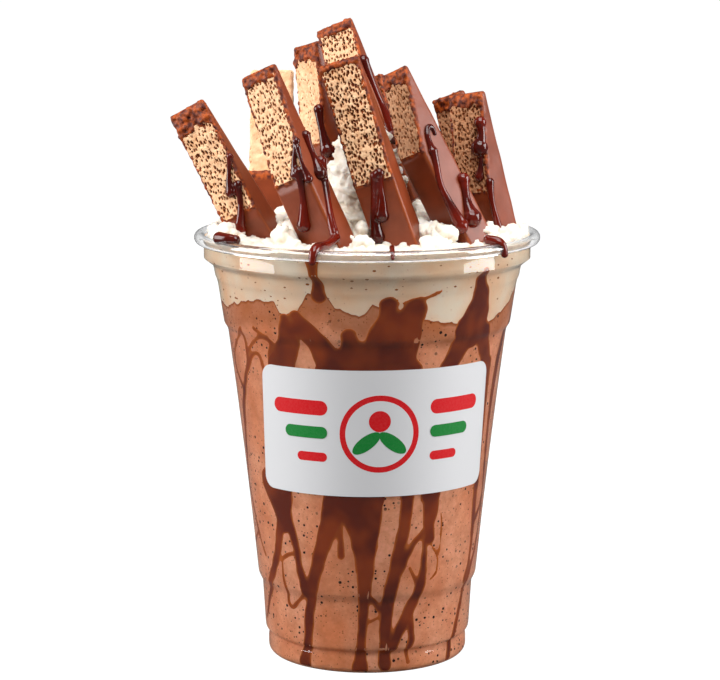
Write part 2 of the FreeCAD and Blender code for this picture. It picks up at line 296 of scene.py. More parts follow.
def chocolate():
    """Milk chocolate coating, set: satin, with a painted highlight in light orange-brown along its edges, and
    crumbly brown where broken.
    """
    material, tree, shader = new_material("milk chocolate, enrobed", Roughness=0.4, IOR=1.48,
                                          Specular_IOR_Level=0.4)
    tone = blend(tree, ramp(tree, grain(tree, 7.0), 0.3, 0.7), "#723014", "#863C20")
    # Painted highlight: the bar's edges are lightened towards orange-brown.
    edge_highlight = blend(tree, combine(tree, "MULTIPLY", attribute(tree, "edge"), 0.85), tone, "#CC6A2A")
    crumb = blend(tree, ramp(tree, grain(tree, 1.5, detail=2), 0.38, 0.66), "#501502", "#B04E0C")
    broken = attribute(tree, "broken")
    final = blend(tree, broken, edge_highlight, crumb)
    tree.links.new(ramp(tree, broken, 0.0, 1.0, 0.36, 0.6), shader.inputs["Roughness"])
    relief(tree, shader, grain(tree, 1.6, detail=4), 0.04)
    return painted(material, final)


def wafer():
    """Aerated wafer out of the oven: pale crumb toasted in patches, with painted shade in its open pores and
    on the fingers that stand in shade.
    """
    material, tree, shader = new_material("aerated wafer, baked", Roughness=0.75, IOR=1.45)
    tone = blend(tree, ramp(tree, grain(tree, 1.5, detail=3), 0.3, 0.7), "#E8AE80", "#FCD2A6")
    toast = blend(tree, ramp(tree, grain(tree, 7.0), 0.55, 0.8, 0.0, 0.7), tone, "#E0A066")
    pit = attribute(tree, "pit")
    # Painted shade: the wafer of the fingers that stand in shade is darkened by the amount listed for each.
    painted_shade = blend(tree, attribute(tree, "painted_shade"), toast, "#9A5A30")
    # Painted shade in the pores: warm brown where they begin to sink, dark brown deep in them.
    pore_shade = blend(tree, ramp(tree, pit, 0.0, 0.4), painted_shade, "#94521F")
    final = blend(tree, ramp(tree, pit, 0.35, 0.85), pore_shade, "#54260F")
    relief(tree, shader, grain(tree, 0.5, detail=3), 0.08)
    return painted(material, final)


def sauce(name, light, dark, **gloss):
    """Chocolate sauce: dark, and orange-brown where it is thin enough for light to pass."""
    material, tree, _ = new_material(name, IOR=1.46, **gloss)
    thick = attribute(tree, "thick")
    deep = blend(tree, ramp(tree, grain(tree, 13.0, detail=2), 0.4, 0.62), light, dark)
    edge = blend(tree, ramp(tree, thick, 0.0, 0.55), "#DC7830", "#A8501A")
    final = blend(tree, ramp(tree, thick, 0.5, 1.0), edge, deep)
    return painted(material, final)


def paper():
    """Coated sticker paper: white, satin, with the slight tooth of the sheet."""
    material, tree, shader = new_material("sticker paper, coated", Roughness=0.38,
                                          Base_Color=colour("#D6D6D8"))
    relief(tree, shader, grain(tree, 0.6, detail=3), 0.01)
    return material


def ink(name, hex_code):
    """Printed ink on coated paper, slightly glossier than the sheet."""
    material, tree, _ = new_material(name, Roughness=0.42, Specular_IOR_Level=0.25)
    tone = blend(tree, ramp(tree, grain(tree, 0.5), 0.3, 0.7, 0.0, 0.02), hex_code, "#FFFFFF")
    return painted(material, tone)


CLEAR = clear_plastic()
SHAKE = shake_liquid()
PALE = pale_froth()
CREAM = whipped()
CHOCOLATE = chocolate()
WAFER = wafer()
WALL_SAUCE = sauce("chocolate sauce wetting plastic", "#9C4012", "#6E240A", Roughness=0.6,
                   Specular_IOR_Level=0.1)
OPEN_SAUCE = sauce("chocolate sauce, poured and glossy", "#641406", "#3C0803", Roughness=0.1)
PAPER = paper()
RED_INK = ink("red ink, printed", "#CC0410")
GREEN_INK = ink("green ink, printed", "#047A2C")


# ---- outlines ----
def rounded(points, reach):
    """An outline with each corner drawn as a short curve that starts so far from it."""
    out = [points[0]]
    for before, corner, after in zip(points, points[1:], points[2:]):
        a, c, b = Vector(before), Vector(corner), Vector(after)
        start = c + (a - c) * min(0.45, reach / (a - c).length)
        end = c + (b - c) * min(0.45, reach / (b - c).length)
        for t in (0.0, 0.25, 0.5, 0.75, 1.0):
            out.append(tuple(start.lerp(c, t).lerp(c.lerp(end, t), t)))
    return out + [points[-1]]


def foot_arc(radius_out, radius_in, inset, steps=6):
    """The rounding under the foot, from the flat ring up to the side."""
    round_off = radius_out - radius_in
    turns = [math.pi / 2 * k / steps for k in range(steps + 1)]
    reach = round_off - inset
    return [(radius_in + reach * math.sin(t), round_off - reach * math.cos(t)) for t in turns]


def outline(inset):
    """Half section of the cup's outside up to its collar, moved in by inset."""
    under = [(0, inset), (14.0, inset), (16.0, 1.2 + inset), (21.4, 1.2 + inset), (23.4, inset)]
    side = [(r - inset, z) for r, z in SIDE]
    return rounded(under + foot_arc(28.5, 26.4, inset) + side, 0.5)


OUTSIDE = outline(0)
UP = [(r, z) for r, z in OUTSIDE if z >= 2.0 and r > 25]


def wall_radius(height):
    """Outside radius of the cup's side at a height."""
    return np.interp(height, [z for r, z in UP], [r for r, z in UP])


def turned(name, points, steps):
    """A surface of revolution: one point is drawn out along the outline and spun about Z."""
    bpy.ops.mesh.primitive_plane_add(size=1)
    obj = bpy.context.object
    obj.name = name
    bpy.ops.object.mode_set(mode="EDIT")
    select_whole()
    bpy.ops.mesh.merge(type="CENTER")
    bpy.ops.transform.translate(value=(points[0][0], 0, points[0][1]))
    for a, b in zip(points, points[1:]):
        bpy.ops.mesh.extrude_vertices_move(TRANSFORM_OT_translate={"value": (b[0] - a[0], 0, b[1] - a[1])})
    select_whole()
    bpy.ops.mesh.spin(steps=steps, angle=2 * math.pi, center=(0, 0, 0), axis=(0, 0, 1))
    select_whole()
    bpy.ops.mesh.remove_doubles(threshold=0.01)
    bpy.ops.mesh.normals_make_consistent(inside=False)
    leave()
    return obj


# ---- cup ----
def make_cup():
    """The cup's skin is spun with its lip rolled over, then thickened inwards."""
    centre = (LIP_RADIUS - LIP_ROLL, CUP_HEIGHT - LIP_ROLL)
    thin = LIP_ROLL - WALL
    turns = [math.radians(180 - LIP_TURN * k / 22) for k in range(23)]
    roll = [(centre[0] + thin * math.cos(t), centre[1] + thin * math.sin(t)) for t in turns]
    skin = turned("cup", OUTSIDE + roll, 144)
    side = [polygon for polygon in skin.data.polygons if 40 < polygon.center.z < 60]
    if sum(polygon.normal.x * polygon.center.x + polygon.normal.y * polygon.center.y for polygon in side) < 0:
        edit(skin)
        select_whole()
        bpy.ops.mesh.flip_normals()
        leave()
    apply_modifier(skin, "SOLIDIFY", thickness=WALL, offset=-1, use_even_offset=True)
    settle(skin, "clear_cup", CLEAR, "clear_plastic", "cup", angle=40)


# ---- drink ----
# Turn from the front in degrees and height of the border between shake and pale layer.
BORDER = [(-90, 104.5), (-72, 102.0), (-58, 104.6), (-48, 105.6), (-37, 106.5), (-35, 103.6),
          (-27, 104.0), (-22, 109.4), (-16, 109.6), (-12, 105.8), (-3, 103.6), (2, 106.2), (8, 105.8),
          (22, 102.4), (36, 100.4), (59, 99.8), (72, 103.6), (80, 107.0), (90, 107.5)]
BORDER_REACH = 11.0          # how far above and below the border the drink's wall eases with it
BRIM_DEPTH = 9.0             # how far down the shake is browner


def border_wave(x, y):
    """Height of the border between shake and pale layer above its mean."""
    turn = math.degrees(math.atan2(x, -y))
    if abs(turn) > 90:
        turn = math.copysign(180, turn) - turn
    swell = float(np.interp(turn, [t for t, z in BORDER], [z for t, z in BORDER])) - SHAKE_TOP
    reach = min(1.0, math.hypot(x, y) / 38)
    lobes = noise.noise(Vector((x / 2.6, y / 2.6, 7.7))) * 0.9
    fine = noise.noise(Vector((x / 1.1, y / 1.1, 1.3))) * 0.45
    return swell * reach ** 3 + lobes + fine


def side_between(low, high, step, inset):
    """Outline points on the cup's side between two heights, no further apart than step."""
    heights = sorted({low, high} | {z for r, z in UP if low < z < high} |
                     set(np.arange(low + step, high, step)))
    return [(float(wall_radius(z)) - inset, float(z)) for z in heights]


def make_drink():
    """The shake and the pale layer on it: two bodies spun to fill the cup, with a wavy border between."""
    inset = WALL - REACH
    under = [(r, z) for r, z in outline(inset) if z < 2.05]
    low_side = side_between(FOOT_EDGE, SHAKE_TOP, 1.2, inset)
    across = [(r, SHAKE_TOP) for r in np.linspace(low_side[-1][0], 0, 24)[1:]]
    shake = turned("shake", under + low_side + across, 360)
    lift_border(shake, top=True)
    rows = points_of(shake)
    brim = np.array([border_wave(x, y) + SHAKE_TOP for x, y, z in rows]) - rows[:, 2]
    set_value(shake, "brim", np.clip(1 - brim / BRIM_DEPTH, 0, 1))
    settle(shake, "milkshake", SHAKE, "shake", "shake", angle=60)

    side = side_between(SHAKE_TOP, PALE_TOP, 1.2, inset)
    lower = [(r, SHAKE_TOP) for r in np.linspace(0, side[0][0], 24)[:-1]]
    upper = [(r, PALE_TOP) for r in np.linspace(side[-1][0], 0, 16)[1:]]
    pale = turned("pale", lower + side + upper, 360)
    lift_border(pale, top=False)
    settle(pale, "pale_froth_layer", PALE, "pale_layer", "pale_layer", angle=60)


def lift_border(obj, top):
    """Moves the border's ring and disc up and down by its waves, and eases what is next to them."""
    rows = points_of(obj)
    for row in rows:
        near = 1 - abs(row[2] - SHAKE_TOP) / BORDER_REACH
        if near > 0 and (row[2] <= SHAKE_TOP + 1e-6) == top or abs(row[2] - SHAKE_TOP) < 1e-6:
            before = wall_radius(row[2])
            row[2] += border_wave(row[0], row[1]) * max(near, 0)
            reach = math.hypot(row[0], row[1])
            if reach > before - WALL - 0.5:
                row[:2] *= (wall_radius(row[2]) - WALL + REACH) / reach
    set_points(obj, rows)


# ---- sauce on the wall ----
# Each run goes down the wall. In threes: turn from the front in degrees, height and half width in mm.
RUNS = [
    # two broad runs on the left, above the label
    (-33, 102, 1.2, -32, 99, 2.7, -32, 96, 2.9, -35, 92, 3.6, -38, 88, 4.2),
    (-28, 103, 1.4, -25, 100, 2.4, -20, 96, 3.0, -17, 93, 3.2, -14, 88, 4.4),
    # the thin run under the lip
    (-19, 119, 1.4, -18.5, 116.5, 1.0, -18, 113.5, 0.9, -17.5, 110.5, 1.5, -18, 109, 1.8),
    # middle mass with two lobes
    (-7, 98, 1.8, -6, 95, 2.8, -5, 91, 4.4, -4, 88, 4.8),
    (8, 107, 1.9, 8, 104, 2.0, 8, 101, 3.4, 6, 95, 4.9, 5, 88, 6.8),
    (18, 106, 2.3, 16, 102, 3.6, 14, 98, 4.3, 12, 88, 4.6),
    (14, 107, 0.4, 18, 108, 0.7, 22, 108, 0.6, 28, 110, 0.2),
    (20, 108, 0.8, 22, 105, 1.0, 21, 103, 0.8),
    (18, 92, 0.8, 20, 88, 1.8),
    # right mass, splitting round an island
    (45, 115, 0.9, 46, 111, 1.8, 48, 107, 3.0, 47, 103, 4.3, 45, 98, 5.2),
    (43, 97, 4.0, 40, 93, 2.8, 35, 87, 2.5),
    (52, 97, 2.7, 56, 92, 2.4, 60, 86, 2.3),
    # right edge, one long thin run to the foot
    (80, 99, 0.5, 77, 94, 1.6, 73, 89, 1.9, 71, 82, 1.6, 70, 70, 1.1, 72, 60, 1.0, 75, 49, 0.9,
     76, 40, 0.9, 73, 32, 1.0, 66, 25, 1.0, 64, 20, 1.0, 60, 13, 1.1, 56, 7, 1.1, 54, 2, 1.2),
    (84, 106, 0.5, 82, 100, 0.5, 79, 95, 0.6),
    # thin net on the left edge
    (-60, 97, 0.4, -70, 92, 0.6, -76, 87, 0.7, -74, 83, 0.7, -67, 79, 0.8),
    (-60, 97, 0.5, -59, 92, 0.6, -59, 88, 0.7, -62, 84, 0.9, -67, 79, 1.1, -71, 73, 1.4),
    (-59, 90, 0.5, -53, 94, 0.5, -47, 96, 0.6, -42, 95, 0.6, -37, 91, 0.6),
    (-42, 94, 0.6, -44, 90, 0.8, -43, 86, 1.2),
    (-62, 84, 0.8, -58, 88, 0.7, -53, 91, 0.6, -49, 90, 0.6, -48, 86, 0.6),
    (-50, 98, 0.4, -47, 97, 0.4, -43, 96, 0.4),
    # behind the label
    (-38, 88, 4.0, -42, 70, 3.4, -45, 52, 3.4),
    (-14, 89, 4.2, -14, 70, 3.6, -14, 52, 3.8),
    (4, 89, 6.0, 2, 70, 5.0, 0, 52, 4.8),
    (13, 89, 3.0, 17, 70, 2.4, 19, 52, 2.0),
    (35, 88, 2.4, 32, 70, 2.8, 31, 52, 3.2),
    (60, 87, 2.2, 62, 70, 1.8, 64, 51, 1.6),
    # below the label, left
    (-53, 54, 3.4, -50, 50, 3.2, -46, 46, 3.0, -45, 43, 2.8),
    (-43, 53, 3.4, -43, 47, 3.2, -45, 42, 2.4),
    (-46, 44, 2.0, -49, 38, 1.5, -52, 32, 1.5, -56, 28, 1.5, -60, 25, 1.4, -68, 18, 1.0, -76, 11, 0.6),
    (-42, 46, 1.9, -39, 39, 1.4, -37, 34, 1.2, -36, 28, 1.3, -33, 23, 2.0),
    (-47, 32, 0.6, -43, 34, 0.7, -39, 34, 0.6),
    (-48, 31, 0.4, -49, 27, 0.4, -47, 23, 0.6, -48, 19, 0.7, -45, 17, 0.6, -40, 20, 0.6, -35, 22, 0.6),
    # below the label, middle
    (-14, 54, 3.8, -16, 48, 3.6, -19, 42, 2.8, -24, 35, 2.2, -27, 29, 2.0, -30, 24, 2.0, -33, 17, 1.8,
     -34, 9, 1.7, -37, 5, 2.0, -38, 2, 2.4),
    (-10, 51, 2.7, -7, 45, 2.4, -4, 38, 1.9, -3, 31, 1.6),
    (0, 53, 4.8, 0, 44, 4.0, -1, 35, 3.1, -1, 27, 2.3, -2, 19, 1.7, -3, 10, 1.4, -4, 5, 1.9, -4, 2, 2.7),
    (-13, 44, 0.6, -13, 39, 0.8, -13, 35, 1.1),
    (19, 53, 1.9, 19, 45, 1.8, 16, 37, 1.9, 14, 30, 1.9, 11, 22, 2.3, 10, 14, 2.0, 10, 9, 2.0,
     10, 3, 2.3),
    (-2, 25, 0.9, 4, 21, 0.8, 10, 17, 1.2),
    (-1, 15, 0.4, 3, 16, 0.4, 7, 17, 0.5),
    (28, 41, 0.9, 23, 38, 1.0, 19, 34, 1.1, 15, 28, 1.2),
    # below the label, right
    (31, 53, 3.2, 32, 47, 2.4, 31, 42, 1.8, 32, 39, 1.6),
    (29, 40, 0.7, 30, 33, 0.9, 29, 27, 1.6, 27, 23, 1.8, 23, 18, 2.1, 18, 13, 1.8, 14, 8, 1.6),
    (22, 31, 0.4, 24, 28, 0.5, 28, 25, 0.9),
    (24, 18, 1.1, 25, 13, 1.1, 25, 9, 1.4, 22, 7, 0.7, 24, 3, 0.6),
    (32, 38, 0.3, 38, 34, 0.3, 38, 30, 0.3, 37, 28, 0.3, 34, 27, 0.3),
    (38, 46, 0.3, 40, 38, 0.3, 38, 34, 0.3),
    (64, 52, 1.6, 64, 46, 1.4, 65, 41, 1.2, 66, 34, 0.8, 65, 28, 0.8, 62, 24, 0.8),
    (74, 47, 0.7, 71, 42, 1.2, 65, 40, 0.8),
    # left edge
    (-79, 50, 0.6, -75, 43, 0.7, -70, 36, 0.7, -64, 31, 0.5),
    (-71, 37, 0.5, -80, 34, 0.6, -86, 30, 0.6),
    (-71, 73, 1.3, -74, 64, 1.0, -79, 54, 0.8, -80, 49, 0.7),
]
SHEET_RADIUS = 35.0          # the wall is unrolled at this radius while the runs are modelled


def soft_tubes(name, routes, resolution=8):
    """Round tubes along smooth routes of (place, radius), as one mesh."""
    curve = bpy.data.curves.new(name, "CURVE")
    curve.dimensions = "3D"
    curve.bevel_depth = 1.0
    curve.bevel_resolution = 3
    curve.use_fill_caps = True
    curve.resolution_u = resolution
    for route in routes:
        spline = curve.splines.new("NURBS")
        spline.points.add(len(route) - 1)
        for point, (place, radius) in zip(spline.points, route):
            point.co = (*place, 1.0)
            point.radius = radius
        spline.order_u = min(3, len(route))
        spline.use_endpoint_u = True
    return curve_mesh(curve)


def curve_mesh(curve):
    """The curve, put into the scene as a mesh."""
    obj = bpy.data.objects.new(curve.name, curve)
    bpy.context.collection.objects.link(obj)
    only(obj)
    bpy.ops.object.convert(target="MESH")
    return bpy.context.object


def round_ends(name, routes):
    """A ball on both ends of every route, so that a melted run ends round."""
    template = pebble()
    reach = max(vertex.co.length for vertex in template.data.vertices)
    places = []
    for route in routes:
        for place, radius in (route[0], route[-1]):
            places.append(Matrix.Translation(place) @ Matrix.Scale(1.08 * radius / reach, 4))
    balls = scattered(name, template, places)
    bpy.data.objects.remove(template)
    return balls


def melted(obj, voxel, rounds, factor=0.6):
    """Melts overlapping shapes into one skin and softens it."""
    apply_modifier(obj, "REMESH", mode="VOXEL", voxel_size=voxel)
    apply_modifier(obj, "SMOOTH", factor=factor, iterations=rounds)


def uneven(obj, size, strength, seed=0.0):
    """Moves each vertex along its normal by smooth noise."""
    rows = points_of(obj)
    normals = normals_of(obj)
    push = [noise.noise(Vector(row) / size + Vector((seed, seed, seed))) * strength for row in rows]
    set_points(obj, rows + normals * np.array(push)[:, None])


def make_wall_sauce():
    """The runs are modelled on the unrolled wall, melted together, pressed flat and rolled up again."""
    routes = []
    for turn_round, mirror in ((0, 1), (180, -1)):
        for run in RUNS:
            route = []
            for turn, height, half in zip(run[0::3], run[1::3], run[2::3]):
                across = math.radians(turn * mirror + turn_round) * SHEET_RADIUS
                route.append(((across, 0, height), half + 0.18))
            routes.append(route)
    film = joined("wall_sauce", [soft_tubes("runs", routes, 6), round_ends("ends", routes)])
    melted(film, 0.45, 2)
    apply_modifier(film, "DECIMATE", ratio=0.5)
    uneven(film, 3.0, 0.35)
    rows = points_of(film)
    out = -rows[:, 1]
    normals = normals_of(film)
    inward = np.maximum(out * -normals[:, 1] / 1.1, out - 0.9)
    set_value(film, "thick", np.clip(inward, 0, 1))
    out = np.clip(out, -0.5, REACH + 0.14)
    turn = rows[:, 0] / SHEET_RADIUS
    height = np.clip(rows[:, 2], 0.9, CUP_HEIGHT - 3.2)
    radius = wall_radius(np.maximum(height, FOOT_EDGE)) - WALL + out
    tuck = np.clip(1 - height / FOOT_EDGE, 0, 1)
    radius = radius - FOOT_EDGE * (1 - np.sqrt(np.clip(1 - tuck ** 2, 0, 1)))
    set_points(film, np.stack([radius * np.sin(turn), -radius * np.cos(turn), height], axis=1))
    settle(film, "sauce_runs_on_wall", WALL_SAUCE, "chocolate", angle=180)


# ---- wafer fingers ----
# Each finger is sliced aslant from a point on its front up to its tip. over: that point, as shares
# of the lip's radius; rise: its height above the lip; lean, back, spin: degrees; slice: length of
# the slice; tip: thickness left there; cap: chocolate at the tip; foot: length below the slice;
# pore: width of the wafer's pores and how far they are open; and the last: how much darker the wafer
# is painted, as painted shade on the fingers that stand in shade.
FINGER_SIZES = ("over", "rise", "lean", "back", "spin", "width", "thick", "slice", "tip", "cap", "foot",
                "pore", "painted_shade")
FINGERS = {name: dict(zip(FINGER_SIZES, sizes)) for name, *sizes in (
    ("a", (-0.74, -0.2), 5.8, 31.5, -3, 23, 12.0, 8.5, 32.0, 1.6, 6.5, 17.0, (0.95, 0.9), 0.0),
    ("b", (-0.43, -0.61), 17.3, 24.5, 3, 31, 11.8, 9.0, 30.3, 2.0, 3.0, 29.0, (0.95, 0.9), 0.0),
    ("c", (-0.58, 0.39), 13.2, 1, 4, 12, 12.5, 7.5, 31.0, 2.6, 0.0, 20.0, (1.3, 0.2), 0.0),
    ("d", (-0.32, 0.29), 23.4, 14.5, 4, 50, 11.5, 8.0, 28.0, 2.0, 5.0, 26.0, (1.0, 0.35), 0.1),
    ("e", (-0.12, 0.1), 43.5, 21.7, 5, 15, 11.3, 8.0, 15.0, 1.8, 2.4, 40.0, (0.9, 1.0), 0.15),
    ("f", (0.03, -0.57), 16.8, 19.7, -4, 17, 11.9, 8.5, 33.0, 2.0, 1.5, 27.0, (0.88, 1.1), 0.0),
    ("g", (0.09, 0.42), 20.0, 22, 4, 35, 11.0, 8.0, 21.5, 2.5, 3.0, 20.0, (1.0, 0.7), 0.5),
    ("h", (0.24, -0.41), 23.3, 27, 1, 44, 10.2, 10.0, 22.2, 1.6, 4.5, 31.0, (0.95, 0.85), 0.6),
    ("i", (0.6, -0.17), 11.7, 14, -4, 37, 11.7, 9.5, 26.4, 2.4, 3.5, 17.5, (0.88, 1.1), 0.7),
    ("j", (0.58, 0.15), 11.2, 21, 3, 38, 11.0, 8.5, 26.5, 2.2, 4.0, 18.0, (0.9, 0.9), 0.7),
)}
RIM = 1.15                   # width of the broken chocolate round the bared wafer


def finger_place(finger):
    """The matrix from a finger's own frame, X right, Y into it and Z up it, to the cup's."""
    lean, back, spin = (math.radians(finger[key]) for key in ("lean", "back", "spin"))
    up = Vector((-math.sin(lean) * math.cos(back), math.sin(back), math.cos(lean) * math.cos(back)))
    toward = Vector((0, -1, 0))
    front = (toward - up * toward.dot(up)).normalized()
    right = up.cross(front)
    if right.x < 0:
        right = -right
    into = -(front * math.cos(spin) - right * math.sin(spin))
    right = right * math.cos(spin) + front * math.sin(spin)
    across, deep = finger["over"]
    place = Matrix.Translation((across * LIP_RADIUS, deep * LIP_RADIUS, CUP_HEIGHT + finger["rise"]))
    return place @ Matrix((right, into, up)).transposed().to_4x4()


def slope_of(finger):
    """Unit vector up the slice and the unit vector out of it, in the finger's frame."""
    depth = finger["thick"] - finger["tip"]
    up = Vector((0, depth, finger["slice"])).normalized()
    return up, Vector((0, -up.z, up.y))


def scattered(name, template, places):
    """Copies of one small shape at many places, as one mesh."""
    shape = points_of(template)
    faces = [tuple(face.vertices) for face in template.data.polygons]
    rows, loops = [], []
    for count, place in enumerate(places):
        turn = np.array(place.to_3x3())
        rows.append(shape @ turn.T + np.array(place.translation))
        loops += [tuple(i + count * len(shape) for i in face) for face in faces]
    mesh = bpy.data.meshes.new(name)
    mesh.from_pydata(np.concatenate(rows).tolist(), [], loops)
    obj = bpy.data.objects.new(name, mesh)
    bpy.context.collection.objects.link(obj)
    return obj


def pebble():
    """A small round lump to copy."""
    bpy.ops.mesh.primitive_ico_sphere_add(subdivisions=2, radius=1)
    return bpy.context.object


def lump_place(draw, place, size, flat=0.7):
    """A place for a lump: turned at random and a little flattened."""
    turn = Matrix.Rotation(draw.uniform(0, math.pi), 4, "Z")
    turn = turn @ Matrix.Rotation(draw.uniform(0, math.pi), 4, "X")
    scale = Matrix.Diagonal((size * draw.uniform(0.8, 1.3), size * draw.uniform(0.8, 1.2), size * flat, 1))
    return Matrix.Translation(place) @ turn @ scale


def sliced_block(finger, sunk):
    """The finger's block, cut along its slice and so much deeper."""
    width, thick = finger["width"], finger["thick"]
    low, high = -finger["foot"], finger["slice"]
    bpy.ops.mesh.primitive_cube_add(size=1, location=(0, thick / 2, (low + high) / 2))
    block = bpy.context.object
    block.scale = (width, thick, high - low)
    apply_place()
    edit(block)
    select_whole()
    bpy.ops.mesh.bevel(offset=0.7, segments=2, affect="EDGES")
    out = slope_of(finger)[1]
    select_whole()
    bpy.ops.mesh.bisect(plane_co=-out * sunk, plane_no=out, use_fill=True, clear_outer=True)
    leave()
    return block


def rim_lumps(finger, draw):
    """Lumps of broken chocolate along both sides of the slice, over its tip and along its start."""
    up, out = slope_of(finger)
    half = finger["width"] / 2
    length = math.hypot(finger["slice"], finger["thick"] - finger["tip"])
    places = []
    along = -0.4
    while along < length:
        for side in (-1, 1):
            x = side * (half - RIM * 0.42 - draw.uniform(0, 0.2))
            places.append((Vector((x, 0, 0)) + up * along - out * draw.uniform(0.3, 0.55),
                           draw.uniform(0.38, 0.62)))
        along += 0.5
    count = int(finger["width"] / 0.7)
    for k in range(count + 1):
        x = -half + 0.6 + (finger["width"] - 1.2) * k / count
        places.append((Vector((x, 0, 0)) + up * draw.uniform(-0.5, 0.6) - out * 0.55, draw.uniform(0.4, 0.6)))
    for k in range(int(finger["width"] * finger["cap"] * 1.1) + count):
        x = draw.uniform(-half + 0.5, half - 0.5)
        along = length - draw.uniform(0.5, max(1.0, finger["cap"]))
        places.append((Vector((x, 0, 0)) + up * along - out * draw.uniform(0.2, 0.7), draw.uniform(0.5, 1.1)))
    return [lump_place(draw, place, size) for place, size in places]


def edge_share(rows, finger, reach=0.55):
    """1 on the bar's long edges and round its slice, falling to 0 a little way in: where the chocolate gets
    its painted highlight.
    """
    across = finger["width"] / 2 - np.abs(rows[:, 0])
    slope = slope_of(finger)[1]
    front = np.minimum(rows[:, 1], -(rows @ np.array(slope)))
    deep = np.minimum(np.abs(front), np.abs(finger["thick"] - rows[:, 1]))
    return np.clip(1 - across / reach, 0, 1) * np.clip(1 - deep / reach, 0, 1)


def make_coat(name, finger, template):
    """The chocolate: a sliced block with a crumbling rim, melted into one skin."""
    draw = random.Random(name)
    block = sliced_block(finger, 0.7)
    crumbs = scattered("crumbs", template, rim_lumps(finger, draw))
    coat = joined("coat", [block, crumbs])
    melted(coat, 0.38, 1, 0.5)
    up, out = slope_of(finger)
    rows = points_of(coat)
    above = rows @ np.array(out)
    along = rows @ np.array(up)
    broken = np.clip(1 - (-above - 0.6) / 0.4, 0, 1) * np.clip((along + 1.2) / 0.5, 0, 1)
    set_value(coat, "broken", broken)
    # Where the chocolate gets its painted edge highlight.
    set_value(coat, "edge", edge_share(rows, finger))
    rough = [noise.noise(Vector(row) / 1.2) * 0.3 * b for row, b in zip(rows, broken)]
    even = [noise.noise(Vector(row) / 6.0) * 0.12 for row in rows]
    set_points(coat, rows + normals_of(coat) * (np.array(rough) + np.array(even))[:, None])
    coat.data.transform(finger_place(finger))
    settle(coat, f"finger_{name}_chocolate", CHOCOLATE, "chocolate", f"finger_{name}_coat", angle=60)


def pore_depth(place, size, share, seed):
    """Depth from 0 to 1 of the open pores at a place on the wafer: long cells with thin walls."""
    spot = Vector((place[0] / size, place[1] / (size * 1.9), seed))
    spot += noise.noise_vector(spot * 1.3) * 0.25
    distances, centres = noise.voronoi(spot)
    pick = abs(noise.cell(centres[0] * 7.3))
    opening = 0.26 + 0.13 * pick - 0.26 * (1 - share)
    away = (spot - centres[0]).xy.length
    wall = distances[1] - distances[0]
    return min(1.0, max(0.0, (opening - away) / 0.14)) * min(1.0, wall / 0.14)


def make_wafer_face(name, finger):
    """The bared wafer: a fine grid on the slice, sunk where its pores are open, and closed behind."""
    up, out = slope_of(finger)
    width = finger["width"] - 2 * RIM * 0.5
    length = math.hypot(finger["slice"], finger["thick"] - finger["tip"]) - finger["cap"] * 0.75 + 0.3
    step = 0.2
    bpy.ops.mesh.primitive_grid_add(x_subdivisions=int(width / step), y_subdivisions=int(length / step),
                                    size=1)
    face = bpy.context.object
    face.scale = (width, length, 1)
    face.location = (0, length / 2 - 0.3, 0)
    apply_place()
    edit(face)
    select_whole()
    bpy.ops.mesh.extrude_region_move(TRANSFORM_OT_translate={"value": (0, 0, -1.3)})
    fix_normals()
    leave()
    rows = points_of(face)
    size, share = finger["pore"]
    seed = 10.0 * (ord(name) - 96)
    pit = np.zeros(len(rows))
    for k, row in enumerate(rows):
        if row[2] < -0.5:
            continue
        pit[k] = pore_depth(row, size, share, seed)
        swell = noise.noise(Vector((row[0] / 2.2, row[1] / 3.0, seed))) * 0.3
        fine = noise.noise(Vector((row[0] / 0.5, row[1] / 0.7, seed))) * 0.12
        row[2] = swell + fine - 0.85 * pit[k] - 0.1
    set_points(face, rows @ np.array([(1, 0, 0), tuple(up), tuple(out)]))
    # The pores' depth, which the wafer's colour darkens as painted shade.
    set_value(face, "pit", pit)
    face.data.transform(finger_place(finger))
    return face


def make_bare_finger(name, finger, template):
    """A plain wafer, dipped only at its foot."""
    block = sliced_block(dict(finger, foot=1.5), 0.2)
    melted(block, 0.42, 3, 0.5)
    rows = points_of(block)
    size, share = finger["pore"]
    pits = np.array([pore_depth((row[0] + row[1] * 0.7, row[2]), size, share, 30.0) for row in rows])
    soft = np.array([noise.noise(Vector(row) / 2.0) * 0.3 for row in rows])
    set_points(block, rows + normals_of(block) * (soft - 0.35 * pits)[:, None])
    # Painted shade in the shallow pores, at half strength.
    set_value(block, "pit", pits * 0.5)
    block.data.transform(finger_place(finger))
    settle(block, f"finger_{name}_plain", WAFER, "wafer", f"finger_{name}_wafer", angle=60)

    low = dict(finger, slice=2.0, thick=finger["thick"] + 0.7, tip=finger["thick"] - 0.2, cap=1.2,
               width=finger["width"] + 0.7)
    dip = sliced_block(low, -0.3)
    crumbs = scattered("crumbs", template, rim_lumps(low, random.Random(name)))
    dip = joined("dip", [dip, crumbs])
    melted(dip, 0.42, 2, 0.5)
    rows = points_of(dip) - np.array((0, 0.35, 0))
    set_points(dip, rows)
    set_value(dip, "broken", np.clip((rows[:, 2] + 1.0) / 1.0, 0, 1))
    # Where the chocolate gets its painted edge highlight.
    set_value(dip, "edge", edge_share(rows, low))
    dip.data.transform(finger_place(finger))
    settle(dip, f"finger_{name}_dip", CHOCOLATE, "chocolate", f"finger_{name}_coat", angle=60)


def make_fingers():
    """All ten: coat and bared face, or for the one without a cap of chocolate a plain wafer."""
    template = pebble()
    for name, finger in FINGERS.items():
        if finger["cap"] == 0.0:
            make_bare_finger(name, finger, template)
            continue
        make_coat(name, finger, template)
        face = make_wafer_face(name, finger)
        # How much painted shade darkens this finger's wafer.
        set_value(face, "painted_shade", finger["painted_shade"])
        settle(face, f"finger_{name}_wafer_face", WAFER, "wafer", f"finger_{name}_wafer", angle=60)
    bpy.data.objects.remove(template)


